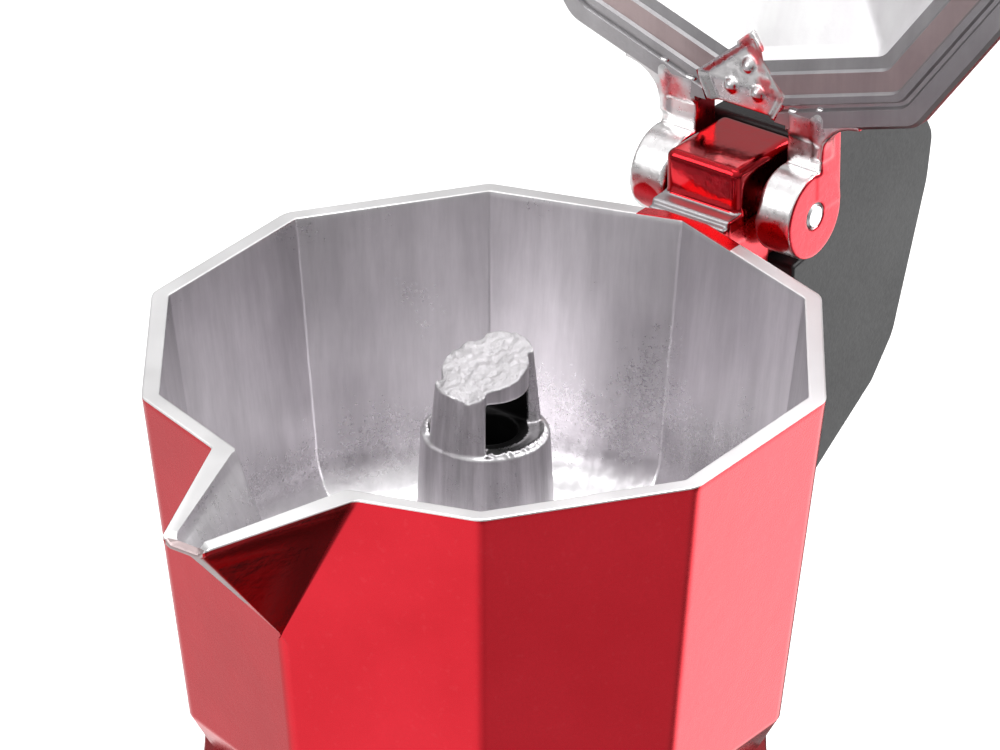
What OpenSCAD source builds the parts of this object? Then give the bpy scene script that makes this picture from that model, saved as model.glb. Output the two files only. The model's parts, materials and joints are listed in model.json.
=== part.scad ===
// Stovetop moka pot: a ten-sided cast aluminium pot in two halves that screw
// together, with its lid swung open.
//
// Frame: +Z up, origin at the middle of the boiler's base, on the table.
// +X points to the hinge and handle, -X to the spout, and the Y = 0 plane
// halves the pot. The ten-sided parts have a corner on +X and on -X.
// Rest pose: halves screwed tight, lid standing open on its stop.

/* [Upper chamber] */
// Height of the chamber's rim above the table
rim_z = 126; // [124:0.5:128]
// Corner radius of the rim, outside
rim_r = 42.25; // [41.5:0.25:43]
// Corner radius of the rim, inside
rim_in_r = 40; // [39:0.25:40]
// Corner radius at the bottom of the flat sides
side_low_r = 37.2; // [36:0.1:38]
// Height of the flat sides
side_h = 44.2; // [42:0.1:46]
// Height of the chamber floor above the table
floor_z = 88; // [87.5:0.5:89]
// Outer radius of the round collar
collar_r = 35.2; // [35:0.1:36]

/* [Spout] */
// Reach of the pouring lip from the pot's axis
spout_reach = 57.5; // [55:0.5:60]
// Half width of the spout where it leaves the rim
spout_half_w = 10.5; // [9:0.1:11]
// Half width of the pouring lip
lip_half_w = 3.1; // [2.6:0.1:3.4]
// Depth of the spout's lower point below the rim
spout_depth = 21.2; // [18:0.1:24]
// Fall of the lip below the rim
lip_drop = 0.8; // [0.2:0.1:1.2]

/* [Hinge] */
// Distance of the hinge pin from the pot's axis
hinge_x = 51.2; // [51:0.1:51.6]
// Drop of the hinge pin below the rim
hinge_drop = 0.4; // [0.2:0.1:0.6]
// Radius of the hinge pin
pin_r = 1.6; // [1.4:0.1:1.8]
// Radius of the lid's knuckles
knuckle_r = 5.6; // [5.4:0.1:5.6]
// Inner face of each lid arm from the middle plane
arm_in_y = 6.8; // [6.6:0.1:7]
// Outer face of each lid arm from the middle plane
arm_out_y = 12; // [11.5:0.1:12.5]
// Half width of the hinge block
block_half_w = 5.5; // [5.2:0.1:5.6]

/* [Lid] */
// Corner radius of the lid's flange
lid_r = 44; // [43.5:0.1:44.2]
// Gap left between the closed lid and the rim
lid_gap = 0.4; // [0.4:0.05:0.6]
// Thickness of the flange
flange_t = 2.4; // [2:0.1:3]
// Rise of the lid's roof above the flange
roof_h = 10.5; // [9:0.5:12]
// Height of the knob
knob_h = 19; // [17:0.5:21]

/* [Handle] */
// Half width of the handle
handle_half_w = 8; // [7:0.5:9]
// Greatest reach of the handle from the pot's axis
handle_reach = 83; // [80:0.5:86]

/* [Screw joint] */
// Radius of the boiler's neck
neck_r = 31; // [31:0.1:31.2]
// Radius of the socket in the upper chamber
socket_r = 32.7; // [32.6:0.1:32.8]
// Pitch of the thread
pitch = 4; // [4:1:4]

/* [Boiler] */
// Corner radius of the boiler at the foot
foot_r = 45.5; // [44:0.5:47]
// Corner radius of the boiler at the shoulder
shoulder_r = 38.5; // [38:0.5:40]
// Height of the shoulder above the table
shoulder_z = 52; // [51:0.5:53]
// Height of the neck's rim above the table
neck_top_z = 68; // [68:0.5:68]
// Height of the safety valve above the table
valve_z = 38; // [36:0.5:40]

/* [Hidden] */
$fn = 96;

SIDES = 10;               // sides of the pot
SIDE_TURN = 180 / SIDES;  // from a corner to the middle of the next side
EPS = 0.01;               // overrun of a cut past the face it opens

RED = [0.72, 0.07, 0.11];
BARE = [0.78, 0.78, 0.79];
STEEL = [0.66, 0.67, 0.69];
BRASS = [0.78, 0.62, 0.30];
BLACK = [0.07, 0.07, 0.08];
WHITE = [0.90, 0.89, 0.86];

// Boiler
foot_bevel = 1.5;           // how far the foot's bevel leans in
foot_bevel_h = 2;
neck_slope_h = 4;           // slope between the shoulder and the neck
boiler_floor_t = 4;
boiler_low_in_r = 39.5;     // widest radius of the water space
boiler_low_in_z = 7;
boiler_high_in_r = 35;
boiler_high_in_z = 47;
neck_in_low_z = 54;         // lower end of the neck's bore

// Upper chamber
side_low_z = rim_z - side_h;
waist_r = 34.5;             // corner radius at the waist below the sides
waist_z = side_low_z - 4.9;
collar_low_z = 61;          // lower edge of the collar
bead_r = collar_r + 1;      // bead round the lower edge of the collar
bead_h = 3;
fillet_h = 8;               // height of the slope from the floor to the sides
fillet_in = 7;              // how far that slope reaches in
taper_in = 0.127;           // slope of the inner walls
spout_root = 38.9;          // where the spout's edges leave the rim
spout_tip_x = 39.6;         // the spout's lower point
lip_t = 1.2;                // height of the pouring lip's face
lip_l = 3.4;                // length of the stretch that slopes down to the lip
spout_wall = 1.9;

// Coffee column
column_low_r = 9;
column_ledge_r = 7.55;
ledge_z = rim_z - 11.3;     // ledge under the two windows
wing_low_r = 6.9;
wing_top_r = 6;
wing_half_angle = 37;
column_core_r = 5.2;
column_bore_r = 3.8;
column_top_z = rim_z - 1.2; // highest point of the slanted top
column_top_drop = 2.6;      // fall of the top from the +X side to the -X side
window_half_w = 4.2;
window_h = 6;

// Hinge and handle
hinge_z = rim_z - hinge_drop;
pin_half_l = arm_out_y + 0.1;
block_front_x = 43.9;
block_back_x = 56.3;
block_top_z = rim_z + 6.5;
block_low_z = rim_z - 8;
lug_half_w = block_half_w + 0.2;  // the lug joins the block to the wall
lug_back_x = 50.6;
lug_h = 11;
tongue_half_w = 3.4;        // tongue on the block, inside the handle
tongue_end_x = 67;
tongue_top_z = rim_z + 2;
tongue_low_z = rim_z - 6;
handle_gap = 0.4;           // from the open arms to the handle: the stop
handle_pin_x = 62.5;
handle_pin_z = rim_z - 2;
handle_pin_r = 1.5;

// Screw joint, gasket and filter
neck_in_r = 28.3;
funnel_rim_t = 0.8;
seal_gap = 0.05;
gasket_low_z = neck_top_z + funnel_rim_t + seal_gap;
gasket_t = 3.15;
gasket_r = 32.2;
gasket_in_r = 26.3;
plate_z = gasket_low_z + gasket_t;
plate_t = 0.6;
plate_r = 29.5;
plate_hole_r = 0.7;
plate_hole_step = 4.6;      // from one ring of holes to the next
ceiling_z = plate_z + plate_t + 0.05;
thread_h = 1.2;             // how far the male ridge stands out of the neck
thread_in = 1.3;            // how far the female ridge stands out of the socket
thread_root = 0.5;          // depth of each ridge's root inside its wall
thread_steps = 32;          // flats in one turn
thread_turns = 1.5;

// Funnel: a tube under a conical floor and a round basket
tube_r = 4.7;
tube_in_r = 4;
tube_low_z = 10;
tube_high_z = 38;
basket_r = 27.2;
basket_in_r = 26.4;
basket_floor_z = 46.5;      // lower edge of the basket's side
funnel_rim_r = 30.6;
strainer_z = 47.3;
strainer_t = 0.7;
strainer_hole_r = 0.9;
strainer_hole_step = 5.2;

// Valve, along -Y through the middle of a side
valve_wall_y = (foot_r - (foot_r - shoulder_r) * (valve_z - 2) / (shoulder_z - 2)) * cos(SIDE_TURN);
valve_y = valve_wall_y + 1;  // face of the boss, clear of the sloping side
valve_boss_r = 7;
valve_hole_r = 4;
valve_washer_r = 5.6;
valve_washer_t = 0.8;
valve_hex_r = 6;
valve_inlet_r = 1.4;
valve_bore_r = 2.9;
stem_r = 1.2;
spring_r = 2;
spring_wire_r = 0.35;
spring_turns = 5;
spring_l = 5.7;
spring_steps = 16;          // flats in one coil

// Lid, drawn closed with its flange on the rim plane
lid_low_z = rim_z + lid_gap;
lid_roof_z = lid_low_z + flange_t;
lid_top_z = lid_roof_z + roof_h;
roof_low_r = 39;
roof_top_r = 11;
roof_t = 2;
knob_screw_r = 1.9;
knob_head_r = 3.6;
knob_head_t = 1.7;
boss_low_z = lid_top_z - 4.5;  // lower face of the boss for the knob's screw
washer_t = 0.8;
knob_low_r = 9;
knob_waist_r = 6.5;
knob_wide_r = 9.5;
knob_top_r = 7;
knob_foot_h = 4;            // height of the knob's flared foot
knob_cap_h = 6;             // height of the slope at the knob's top
lid_notch = 10.5;           // from the pin to the lid's edge between the arms

// A ten-sided frustum with a corner on +X.
module ten_sided(z_low, z_high, r_low, r_high)
    translate([0, 0, z_low]) cylinder(h = z_high - z_low, r1 = r_low, r2 = r_high, $fn = SIDES);

// The solid with the given corners and no hollows.
module convex(points)
    hull() polyhedron(points, [[for (i = [0:len(points) - 1]) i]]);

// The same pair on +Y and -Y.
module both_sides() {
    children();
    mirror([0, 1, 0]) children();
}

// A cylinder along Y, centred on the middle plane.
module across(r, half_l, x, z)
    translate([x, half_l, z]) rotate([90, 0, 0]) cylinder(r = r, h = 2 * half_l);

// Cylinder along -Y from y_in out to y_out, on the valve's axis.
module valve_round(r, y_in, y_out, sides = 64)
    translate([0, -y_in, valve_z]) rotate([90, 0, 0]) cylinder(r = r, h = y_out - y_in, $fn = sides);

// One helical ridge. The root line is at radius root_r and the crest at crest_r.
function ridge_point(turn, r, z) = [r * cos(360 * turn), r * sin(360 * turn), z + pitch * turn];
module thread_ridge(root_r, crest_r, z_low, start, turns) {
    steps = ceil(turns * thread_steps);
    root_w = 1.1;
    crest_w = 0.4;
    points = [for (i = [0:steps]) let (t = start + turns * i / steps, z = z_low - pitch * start)
        each [ridge_point(t, root_r, z - root_w), ridge_point(t, crest_r, z - crest_w),
              ridge_point(t, crest_r, z + crest_w), ridge_point(t, root_r, z + root_w)]];
    out = crest_r > root_r;
    sides = [for (i = [0:steps - 1], k = [0:3]) let (a = 4 * i + k, b = 4 * i + (k + 1) % 4)
        out ? [a, b, b + 4, a + 4] : [a, a + 4, b + 4, b]];
    last = 4 * steps;
    ends = out ? [[3, 2, 1, 0], [last, last + 1, last + 2, last + 3]]
               : [[0, 1, 2, 3], [last + 3, last + 2, last + 1, last]];
    polyhedron(points, concat(sides, ends), convexity = 6);
}

// Holes on rings about the axis: ring i has 6 * i holes.
module ring_holes(r, rings, step, z_low, h)
    for (i = [0:rings], k = [0:max(6 * i, 1) - 1])
        rotate(i == 0 ? 0 : 60 * k / i)
            translate([i * step, 0, z_low]) cylinder(r = r, h = h, $fn = 24);

// ---------------------------------------------------------------- boiler

module boiler() color(RED) difference() {
    union() {
        ten_sided(0, foot_bevel_h, foot_r - foot_bevel, foot_r);
        ten_sided(foot_bevel_h, shoulder_z, foot_r, shoulder_r);
        translate([0, 0, shoulder_z]) cylinder(h = neck_slope_h, r1 = shoulder_r * cos(SIDE_TURN), r2 = neck_r + 1.2);
        translate([0, 0, shoulder_z]) cylinder(h = neck_top_z - shoulder_z, r = neck_r);
        thread_ridge(neck_r - thread_root, neck_r + thread_h, collar_low_z - 0.7, 0, thread_turns);
        // flat boss that the valve seats on
        valve_round(valve_boss_r, valve_y - 3, valve_y);
    }
    rotate_extrude() polygon([
        [0, boiler_floor_t], [boiler_low_in_r - 2.5, boiler_floor_t], [boiler_low_in_r, boiler_low_in_z],
        [boiler_high_in_r, boiler_high_in_z], [neck_in_r, neck_in_low_z],
        [neck_in_r, neck_top_z + EPS], [0, neck_top_z + EPS]]);
    valve_round(valve_hole_r, valve_y - 8, valve_y + 1);
}

module valve_washer() color(STEEL) difference() {
    valve_round(valve_washer_r, valve_y, valve_y + valve_washer_t);
    valve_round(valve_hole_r, valve_y - 1, valve_y + 2);
}

module valve_body() color(BRASS) difference() {
    union() {
        valve_round(valve_hole_r, valve_y - 5, valve_y + 1);
        valve_round(valve_hex_r, valve_y + valve_washer_t, valve_y + 4.3, 6);
        valve_round(4.6, valve_y + 4, valve_y + 5.5);
    }
    valve_round(valve_bore_r, valve_y - 3.5, valve_y + 6);
    valve_round(valve_inlet_r, valve_y - 6, valve_y);
}

module valve_cap() color(STEEL) difference() {
    valve_round(valve_bore_r, valve_y + 4.4, valve_y + 5.2);
    valve_round(stem_r + 0.08, valve_y + 4, valve_y + 6);
}

// A compression spring: a round wire swept along a helix.
module valve_spring() color(STEEL) {
    steps = spring_turns * spring_steps;
    points = [for (i = [0:steps], k = [0:5]) let (a = 360 * spring_turns * i / steps, w = 60 * k)
        [(spring_r + spring_wire_r * cos(w)) * cos(a), (spring_r + spring_wire_r * cos(w)) * sin(a),
         spring_l * i / steps + spring_wire_r * sin(w)]];
    rings = [for (i = [0:steps - 1], k = [0:5]) let (a = 6 * i + k, b = 6 * i + (k + 1) % 6)
        [a, a + 6, b + 6, b]];
    ends = [[for (k = [0:5]) k], [for (k = [5:-1:0]) 6 * steps + k]];
    translate([0, -(valve_y - 1.85), valve_z]) rotate([90, 0, 0])
        polyhedron(points, concat(rings, ends), convexity = 10);
}

module valve_stem() color(BRASS) union() {
    valve_round(2.55, valve_y - 3.45, valve_y - 2.3);
    valve_round(stem_r, valve_y - 3, valve_y + 7);
}

// ------------------------------------------------------- funnel and seals

module funnel() color(BARE) difference() {
    rotate_extrude() polygon([
        [tube_r, tube_low_z], [tube_r, tube_high_z], [8, tube_high_z + 4], [basket_r, basket_floor_z],
        [basket_r, neck_top_z], [funnel_rim_r, neck_top_z], [funnel_rim_r, neck_top_z + funnel_rim_t],
        [basket_in_r, neck_top_z + funnel_rim_t], [basket_in_r, basket_floor_z + 0.6],
        [7.5, tube_high_z + 4.7], [tube_in_r, tube_high_z + 0.3], [tube_in_r, tube_low_z]]);
    // slanted lower end of the tube
    translate([-6, -6, tube_low_z - 0.5]) rotate([0, -20, 0]) translate([0, 0, -6]) cube([20, 12, 6]);
}

module funnel_strainer() color(BARE) difference() {
    translate([0, 0, strainer_z]) cylinder(r = basket_in_r - 0.2, h = strainer_t);
    ring_holes(strainer_hole_r, 4, strainer_hole_step, strainer_z - 0.3, 2);
}

module gasket() color(WHITE) difference() {
    translate([0, 0, gasket_low_z]) cylinder(r = gasket_r, h = gasket_t);
    translate([0, 0, gasket_low_z - 1]) cylinder(r = gasket_in_r, h = gasket_t + 2);
}

module filter_plate() color(BARE) difference() {
    translate([0, 0, plate_z]) cylinder(r = plate_r, h = plate_t);
    ring_holes(plate_hole_r, 5, plate_hole_step, plate_z - 1, plate_t + 2);
}

// ---------------------------------------------------------- upper chamber

module chamber_outside() {
    ten_sided(side_low_z, rim_z, side_low_r, rim_r);
    ten_sided(waist_z, side_low_z + EPS, waist_r, side_low_r);
    translate([0, 0, collar_low_z]) cylinder(r = collar_r, h = waist_z - collar_low_z - 1);
    translate([0, 0, collar_low_z]) cylinder(r = bead_r, h = bead_h);
    translate([0, 0, waist_z - 1 - EPS]) cylinder(h = 4, r1 = collar_r, r2 = waist_r * cos(SIDE_TURN));
}

module chamber_inside() {
    r_knee = rim_in_r - taper_in * (rim_z - floor_z - fillet_h);
    ten_sided(floor_z + fillet_h, rim_z + EPS, r_knee, rim_in_r);
    ten_sided(floor_z, floor_z + fillet_h + EPS, r_knee - fillet_in, r_knee);
}

// Thread socket, gasket seat and the dome that leads up into the column.
module chamber_underside() {
    translate([0, 0, collar_low_z - EPS]) cylinder(r = socket_r, h = ceiling_z - collar_low_z + EPS);
    rotate_extrude() polygon([
        [0, ceiling_z - 1], [26, ceiling_z - 1], [26, ceiling_z + 1], [22, ceiling_z + 5], [9, ceiling_z + 10],
        [column_bore_r, floor_z], [column_bore_r, ledge_z + window_h - 1], [0, ledge_z + window_h - 1]]);
}

module column() difference() {
    union() {
        translate([0, 0, floor_z - 4]) cylinder(h = ledge_z - floor_z + 4, r1 = column_low_r, r2 = column_ledge_r);
        translate([0, 0, ledge_z - 1]) cylinder(h = rim_z - ledge_z + 1, r = column_core_r);
        intersection() {
            translate([0, 0, ledge_z - 1]) cylinder(h = rim_z - ledge_z + 1, r1 = wing_low_r, r2 = wing_top_r);
            for (turn = [0, 180]) rotate(turn) linear_extrude(rim_z) polygon([
                [0, 0], 10 * [cos(wing_half_angle), -sin(wing_half_angle)],
                10 * [cos(wing_half_angle), sin(wing_half_angle)]]);
        }
    }
    // slanted top
    translate([wing_top_r, 0, column_top_z]) rotate([0, -atan(column_top_drop / (2 * wing_top_r)), 0])
        translate([-20, -10, 0]) cube([30, 20, 8]);
    translate([-window_half_w, -10, ledge_z]) cube([2 * window_half_w, 20, window_h]);
}

module spout_outside() {
    lip_back_x = -spout_reach + lip_l;
    lip_back_w = lip_half_w + lip_l * (spout_half_w - lip_half_w) / (spout_reach - spout_root);
    convex([for (side = [-1, 1]) each [
        [-spout_root, side * spout_half_w, rim_z], [-spout_root + 3, side * (spout_half_w - 2), rim_z],
        [lip_back_x, side * lip_back_w, rim_z], [-spout_reach, side * lip_half_w, rim_z - lip_drop],
        [-spout_reach, side * lip_half_w, rim_z - lip_drop - lip_t],
        [-spout_tip_x, 0, rim_z - spout_depth], [-spout_tip_x + 3, 0, rim_z - spout_depth + 6]]]);
}

module spout_inside() {
    mouth_z = rim_z - lip_drop - 0.4;
    convex([for (side = [-1, 1]) each [
        [-spout_root + 5, side * (spout_half_w - 1.2), rim_z + 3],
        [-spout_root + 5, side * (spout_half_w - 1.6), rim_z - 1],
        [-spout_reach - 1, side * (lip_half_w - 1.2), rim_z + 3],
        [-spout_reach - 1, side * (lip_half_w - 1.4), mouth_z],
        [-spout_tip_x + 4, 0, rim_z - spout_depth + 2 * spout_wall]]]);
}

// Block that carries the hinge pin, its ledge on the rim, and the tongue for the handle.
module hinge_block() {
    translate([0, block_half_w, 0]) rotate([90, 0, 0]) linear_extrude(2 * block_half_w) polygon([
        [block_front_x, block_low_z], [block_back_x, block_low_z], [block_back_x, block_top_z - 0.8],
        [block_back_x - 0.8, block_top_z], [block_front_x + 1, block_top_z], [block_front_x, block_top_z - 1]]);
    translate([0, lug_half_w, rim_z]) rotate([90, 0, 0]) linear_extrude(2 * lug_half_w) polygon([
        [rim_in_r - 1, 0], [lug_back_x, 0], [lug_back_x, -lug_h], [rim_in_r - 2, -lug_h - 10]]);
    translate([block_back_x - 1, -tongue_half_w, tongue_low_z])
        cube([tongue_end_x - block_back_x + 1, 2 * tongue_half_w, tongue_top_z - tongue_low_z]);
}

module chamber_casting() difference() {
    union() {
        difference() {
            union() {
                chamber_outside();
                spout_outside();
                hinge_block();
            }
            chamber_inside();
            spout_inside();
        }
        column();
    }
    chamber_underside();
    across(pin_r, 10, hinge_x, hinge_z);
    across(handle_pin_r, 10, handle_pin_x, handle_pin_z);
}

module socket_thread()
    thread_ridge(socket_r + thread_root, socket_r - thread_in, collar_low_z + 1.3, 0, 1.4);

module upper_chamber() color(RED) {
    chamber_casting();
    socket_thread();
}

module hinge_pin() color(STEEL) across(pin_r, pin_half_l, hinge_x, hinge_z);

// ----------------------------------------------------------------- handle

module handle_outline() {
    front_x = hinge_x + knuckle_r + handle_gap;
    polygon([
        [front_x, 6.3], [handle_reach - 12, 5.5], [handle_reach - 3, 2.5], [handle_reach, -3],
        [handle_reach - 1, -9], [handle_reach - 8, -28], [handle_reach - 12.5, -33],
        [54, -43], [57, -32], [59, -24], [56.5, -16], [52.4, -10.8], [52.4, -9.2], [front_x, -8.5]]);
}

module handle() color(BLACK) difference() {
    translate([0, handle_half_w, rim_z]) rotate([90, 0, 0]) linear_extrude(2 * handle_half_w) handle_outline();
    translate([block_back_x - 8, -tongue_half_w - 0.1, tongue_low_z - 0.1])
        cube([tongue_end_x - block_back_x + 8.3, 2 * tongue_half_w + 0.2, tongue_top_z - tongue_low_z + 0.2]);
    across(handle_pin_r, 20, handle_pin_x, handle_pin_z);
}

module handle_pin() color(STEEL) across(handle_pin_r, handle_half_w - 0.5, handle_pin_x, handle_pin_z);

// -------------------------------------------------------------------- lid

// Swings a shape drawn on the closed pot to the open rest pose.
module opened()
    translate([hinge_x, 0, hinge_z]) rotate([0, 90, 0]) translate([-hinge_x, 0, -hinge_z]) children();

module lid_shell() difference() {
    union() {
        ten_sided(lid_low_z, lid_roof_z, lid_r, lid_r - 0.4);
        ten_sided(lid_roof_z - EPS, lid_top_z, roof_low_r, roof_top_r);
        // plate between the arms, with the size mark on its underside
        translate([24, -arm_out_y, lid_low_z]) cube([17.5, 2 * arm_out_y, 4]);
    }
    difference() {
        ten_sided(lid_low_z - EPS, lid_top_z - roof_t, roof_low_r - 2.5, roof_top_r - 3);
        translate([29, -arm_in_y, lid_low_z - 1]) cube([20, 2 * arm_in_y, roof_h]);
        translate([0, 0, boss_low_z]) cylinder(r = 6, h = lid_top_z - boss_low_z);
    }
    // notch that clears the hinge block
    translate([hinge_x - lid_notch, -arm_in_y, lid_low_z - 1]) cube([20, 2 * arm_in_y, 12]);
    translate([0, 0, lid_low_z]) cylinder(r = knob_screw_r + 0.2, h = 30, $fn = 48);
}

module lid_arm() difference() {
    union() {
        translate([hinge_x, arm_out_y, hinge_z]) rotate([90, 0, 0]) cylinder(r = knuckle_r, h = arm_out_y - arm_in_y);
        translate([34, arm_in_y, lid_low_z])
            cube([hinge_x - 34, arm_out_y - arm_in_y, hinge_z + knuckle_r - lid_low_z]);
        // outside the rim the arm comes down level with the pin
        translate([rim_r + 1, arm_in_y, hinge_z + 0.1])
            cube([hinge_x - rim_r - 1, arm_out_y - arm_in_y, knuckle_r - 0.1]);
    }
    across(pin_r + 0.05, 20, hinge_x, hinge_z);
}

module lid() color(RED) opened() {
    lid_shell();
    both_sides() lid_arm();
}

module knob_washer() color(STEEL) opened() difference() {
    translate([0, 0, boss_low_z - washer_t]) cylinder(r = 4.6, h = washer_t, $fn = 48);
    translate([0, 0, boss_low_z - 2]) cylinder(r = knob_screw_r, h = 3, $fn = 48);
}

module knob_screw() color(STEEL) opened() {
    head_z = boss_low_z - washer_t - knob_head_t;
    translate([0, 0, head_z]) cylinder(r = knob_head_r, h = knob_head_t, $fn = 48);
    translate([0, 0, head_z]) cylinder(r = knob_screw_r, h = 16, $fn = 48);
}

module knob() color(BLACK) opened() difference() {
    translate([0, 0, lid_top_z]) union() {
        cylinder(h = knob_foot_h, r1 = knob_low_r, r2 = knob_waist_r, $fn = SIDES);
        cylinder(h = knob_h - knob_cap_h, r1 = knob_waist_r, r2 = knob_wide_r, $fn = SIDES);
        translate([0, 0, knob_h - knob_cap_h])
            cylinder(h = knob_cap_h, r1 = knob_wide_r, r2 = knob_top_r, $fn = SIDES);
    }
    translate([0, 0, lid_top_z - 1]) cylinder(r = knob_screw_r, h = 11, $fn = 48);
}

boiler();
valve_washer();
valve_body();
valve_cap();
valve_spring();
valve_stem();
funnel();
funnel_strainer();
gasket();
filter_plate();
upper_chamber();
hinge_pin();
handle();
handle_pin();
lid();
knob_washer();
knob_screw();
knob();
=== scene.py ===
"""Moka pot with its lid open: detailed pieces, materials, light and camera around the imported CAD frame.

Shapes are drawn in millimetres in the row frame (+Z up, +X to the hinge) and scaled to metres when a
mesh is made. The lid and what is on it are drawn closed and then swung open about the hinge pin.
"""
import json
from math import acos, atan2, cos, hypot, pi, radians, sin, tan

import bmesh
import bpy
import numpy as np
from mathutils import Matrix, Vector


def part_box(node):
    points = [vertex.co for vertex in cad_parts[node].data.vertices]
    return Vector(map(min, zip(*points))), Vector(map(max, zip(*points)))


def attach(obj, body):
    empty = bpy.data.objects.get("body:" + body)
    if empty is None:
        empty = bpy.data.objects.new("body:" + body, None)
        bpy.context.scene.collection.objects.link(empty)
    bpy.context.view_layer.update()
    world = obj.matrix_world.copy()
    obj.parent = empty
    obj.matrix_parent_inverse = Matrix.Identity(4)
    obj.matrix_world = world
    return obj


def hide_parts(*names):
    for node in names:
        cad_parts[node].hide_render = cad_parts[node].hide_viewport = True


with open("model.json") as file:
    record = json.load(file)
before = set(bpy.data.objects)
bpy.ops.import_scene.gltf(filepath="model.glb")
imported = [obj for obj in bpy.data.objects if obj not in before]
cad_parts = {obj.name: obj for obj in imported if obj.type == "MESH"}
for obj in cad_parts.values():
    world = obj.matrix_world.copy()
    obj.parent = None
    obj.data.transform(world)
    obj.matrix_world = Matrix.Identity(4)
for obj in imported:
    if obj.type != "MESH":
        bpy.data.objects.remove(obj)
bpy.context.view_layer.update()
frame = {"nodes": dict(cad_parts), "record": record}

MM = 0.001
SIDES = 10
SIDE_TURN = pi / SIDES

# ---------------------------------------------------------------- places, from the frame


def joint(name):
    return next(j for j in frame["record"]["behaviour"]["joints"] if j["name"] == name)


def mm_box(node):
    low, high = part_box(node)
    return [v / MM for v in low], [v / MM for v in high]


PIN = [v / MM for v in joint("lid_hinge")["pos_m"]]
RIM_Z = PIN[2] + 0.4                      # the hinge pin lies 0.4 mm below the rim
CHAMBER_LOW = mm_box("upper_chamber")[0]
BOILER_HIGH = mm_box("boiler")[1]
HANDLE_LOW, HANDLE_HIGH = mm_box("handle")
PIN_LOW, PIN_HIGH = mm_box("hinge_pin")

RIM_R = 42.25                             # corner radius of the rim, outside
RIM_IN_R = 40.0
SIDE_LOW_R = 37.2
SIDE_H = 44.2
FLOOR_DEPTH = RIM_Z - 88
PIN_R = 1.6
KNUCKLE_R = 5.6
ARM_IN, ARM_OUT = 6.8, 12.0
BLOCK_HALF_W = 5.5

# ---------------------------------------------------------------- mesh tools


def clamp(value, low=0.0, high=1.0):
    return min(high, max(low, value))


def mesh_object(name, points, faces, material_index=None):
    """A mesh object in metres from points in millimetres, with its faces turned outwards."""
    mesh = bpy.data.meshes.new(name)
    mesh.from_pydata([tuple(MM * float(v) for v in p) for p in points], [], faces)
    if material_index is not None:
        mesh.polygons.foreach_set("material_index", material_index)
    mesh.validate()
    made = bmesh.new()
    made.from_mesh(mesh)
    bmesh.ops.recalc_face_normals(made, faces=made.faces)
    made.to_mesh(mesh)
    made.free()
    piece = bpy.data.objects.new(name, mesh)
    bpy.context.collection.objects.link(piece)
    return piece


def add_object(name, points, faces, body, nodes, material_index=None):
    """A piece that rides on a body and stands in for CAD nodes."""
    piece = mesh_object(name, points, faces, material_index)
    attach(piece, body)
    if nodes:
        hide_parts(*nodes)
    return piece


def shade(piece, angle=32):
    piece.data.shade_smooth()
    piece.data.set_sharp_from_angle(angle=radians(angle))


def bevel(piece, width, segments=3, angle=35):
    """Rounded edges, in millimetres."""
    mod = piece.modifiers.new("rounded_edges", "BEVEL")
    mod.width = width * MM
    mod.segments = segments
    mod.limit_method = "ANGLE"
    mod.angle_limit = radians(angle)
    mod.harden_normals = True
    mod.use_clamp_overlap = True


def paint(piece, *materials):
    # emptying the material list also empties the faces' choice of material
    polygons = piece.data.polygons
    index = [0] * len(polygons)
    polygons.foreach_get("material_index", index)
    piece.data.materials.clear()
    for m in materials:
        piece.data.materials.append(m)
    polygons.foreach_set("material_index", index)


def opened(point):
    """Swings a point of the closed lid to the open rest pose, a quarter turn about the pin."""
    x, y, z = point[0] - PIN[0], point[1], point[2] - PIN[2]
    return (PIN[0] + z, y, PIN[2] - x)


def loft(rings, cap_first=False, cap_last=False):
    """Points and faces of a skin through closed rings that all have the same number of points."""
    n = len(rings[0])
    points = [p for ring in rings for p in ring]
    faces = []
    for i in range(len(rings) - 1):
        for k in range(n):
            a, b = i * n + k, i * n + (k + 1) % n
            faces.append((a, b, b + n, a + n))
    if cap_first:
        faces.append(tuple(range(n - 1, -1, -1)))
    if cap_last:
        faces.append(tuple(range((len(rings) - 1) * n, len(rings) * n)))
    return points, faces


ALMOST_ONE = 0.999999                     # keeps straight corners from dividing by zero


def corner_block(at, before, after, radius, steps):
    """A rounded corner of an outline: a support point, an arc, and a support point."""
    to_b = np.array(before, float) - at
    to_a = np.array(after, float) - at
    len_b, len_a = np.hypot(*to_b), np.hypot(*to_a)
    to_b, to_a = to_b / len_b, to_a / len_a
    half = 0.5 * acos(clamp(float(to_b @ to_a), -ALMOST_ONE, ALMOST_ONE))
    reach = min(radius / tan(half), 0.45 * len_b, 0.45 * len_a)
    r = reach * tan(half)
    mid = to_b + to_a
    centre = at + mid / np.hypot(*mid) * (r / sin(half))
    start, end = at + to_b * reach, at + to_a * reach
    a0 = atan2(*(start - centre)[::-1])
    a1 = atan2(*(end - centre)[::-1])
    turn = (a1 - a0 + pi) % (2 * pi) - pi
    lead = min(0.35, 0.04 * len_b, 0.04 * len_a)
    out = [tuple(start + to_b * lead)]
    out += [tuple(centre + r * np.array([cos(a0 + turn * i / steps), sin(a0 + turn * i / steps)]))
            for i in range(steps + 1)]
    out.append(tuple(end + to_a * lead))
    return out


def rounded(corners, radii, steps):
    """An outline with every corner rounded: (steps + 3) points to a corner."""
    n = len(corners)
    out = []
    for i in range(n):
        at = np.array(corners[i], float)
        out += corner_block(at, corners[i - 1], corners[(i + 1) % n], radii[i], steps)
    return out


def decagon(r):
    return [(r * cos(2 * SIDE_TURN * k), r * sin(2 * SIDE_TURN * k)) for k in range(SIDES)]


def ring_like(ring, r, z):
    """A circle whose points have the same angles as those of another ring, so that quads stay even."""
    return [(r * x / hypot(x, y), r * y / hypot(x, y), z) for x, y, _ in ring]


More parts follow.
